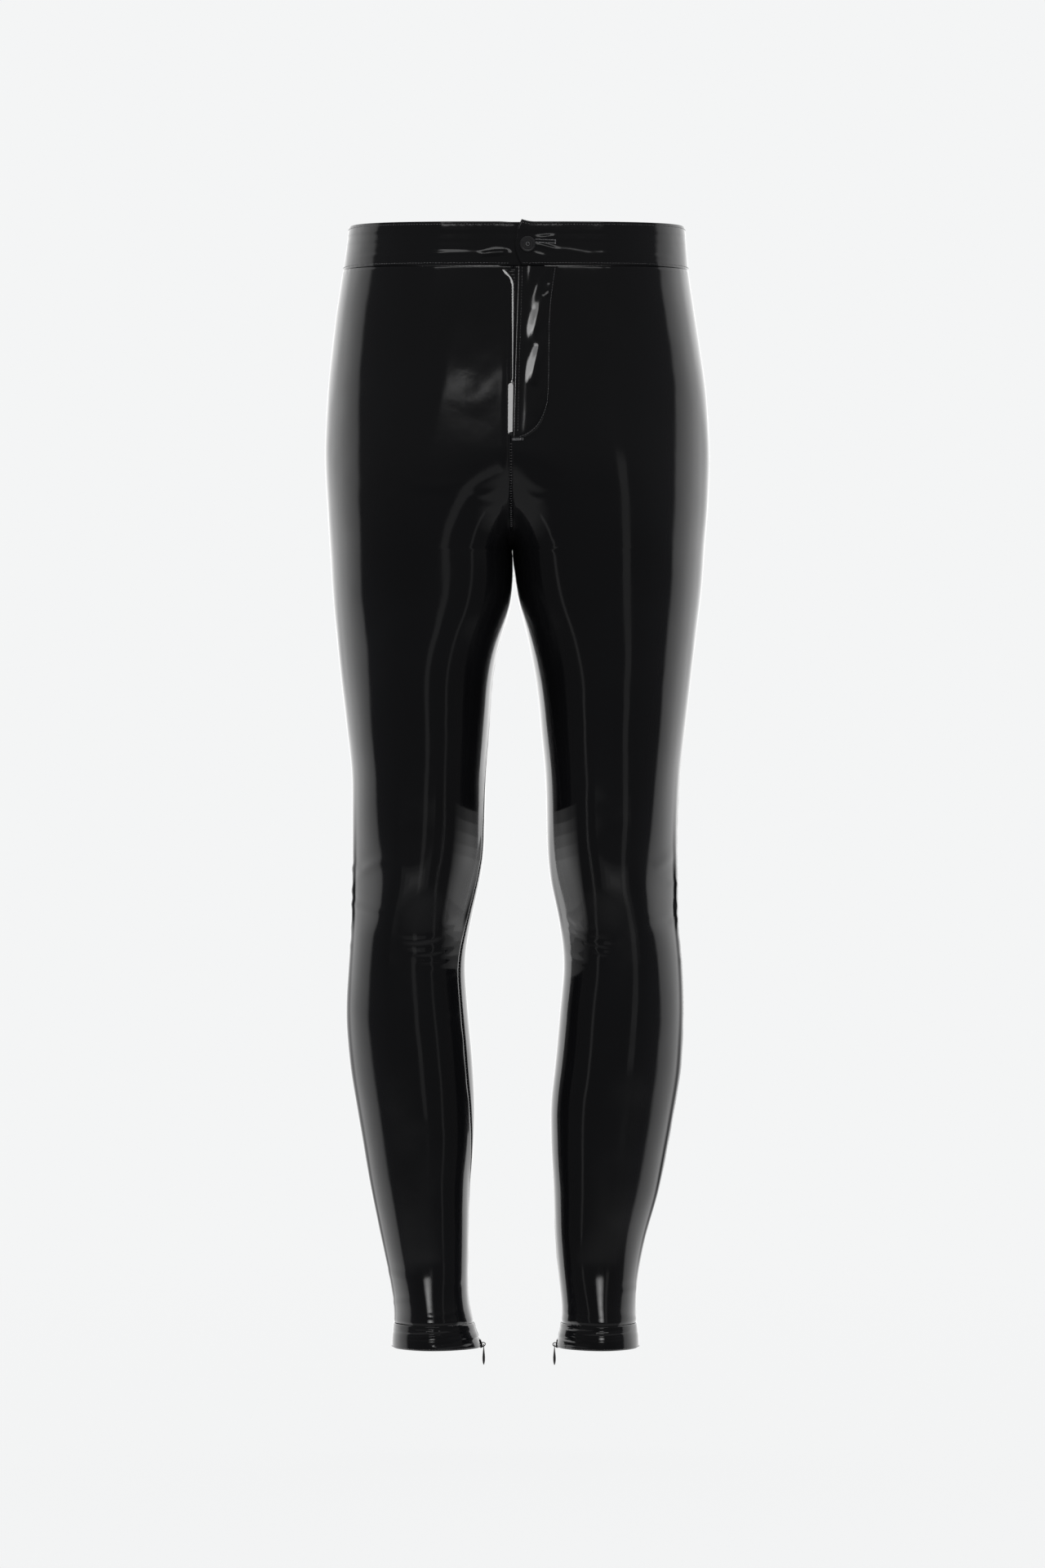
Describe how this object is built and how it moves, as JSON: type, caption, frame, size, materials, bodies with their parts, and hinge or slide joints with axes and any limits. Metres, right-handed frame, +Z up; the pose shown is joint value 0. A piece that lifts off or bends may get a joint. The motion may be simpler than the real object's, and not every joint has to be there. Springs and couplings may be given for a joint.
{
  "type": "trousers",
  "caption": "Slim full-length trousers in glossy vinyl, filled out as worn, with a waistband that buttons over, a fly placket, and hem bands with small ankle zips.",
  "frame": {"origin": "centre of the waistband's hollow, at the middle of the waistband's height, where the wearer's waist holds the trousers up", "axes": "+Z up along the body, -Y to the front, +X to the wearer's left"},
  "size_m": [0.3515, 0.2296, 1.0474],
  "materials": {
    "vinyl": "high gloss, wet look",
    "button": "semi-matt",
    "tape": "woven, matt",
    "zip_metal": "black lacquer, satin"
  },
  "bodies": {
    "trousers": {"front_left": "vinyl", "front_right": "vinyl", "back_left": "vinyl", "back_right": "vinyl", "waistband_left": "vinyl", "waistband_right": "vinyl", "fly_placket": "vinyl", "hem_band_left": "vinyl", "hem_band_right": "vinyl", "button": "button", "ankle_zip_left": "tape", "ankle_zip_right": "tape", "zip_slider_left": "zip_metal", "zip_slider_right": "zip_metal"},
    "pull_tab_left": {"pull_tab_left": "zip_metal"},
    "pull_tab_right": {"pull_tab_right": "zip_metal"}
  },
  "joints": [
    {"name": "pull_tab_left_swing", "type": "hinge", "parent": "trousers", "child": "pull_tab_left", "pos_m": [0.03533, 0.02634, -1.00292], "axis": [0.0129, 0.9999, 0], "range_deg": [-10, 165]},
    {"name": "pull_tab_right_swing", "type": "hinge", "parent": "trousers", "child": "pull_tab_right", "pos_m": [-0.02963, 0.02635, -1.00264], "axis": [0.0231, -0.9997, 0], "range_deg": [-10, 165]}
  ]
}
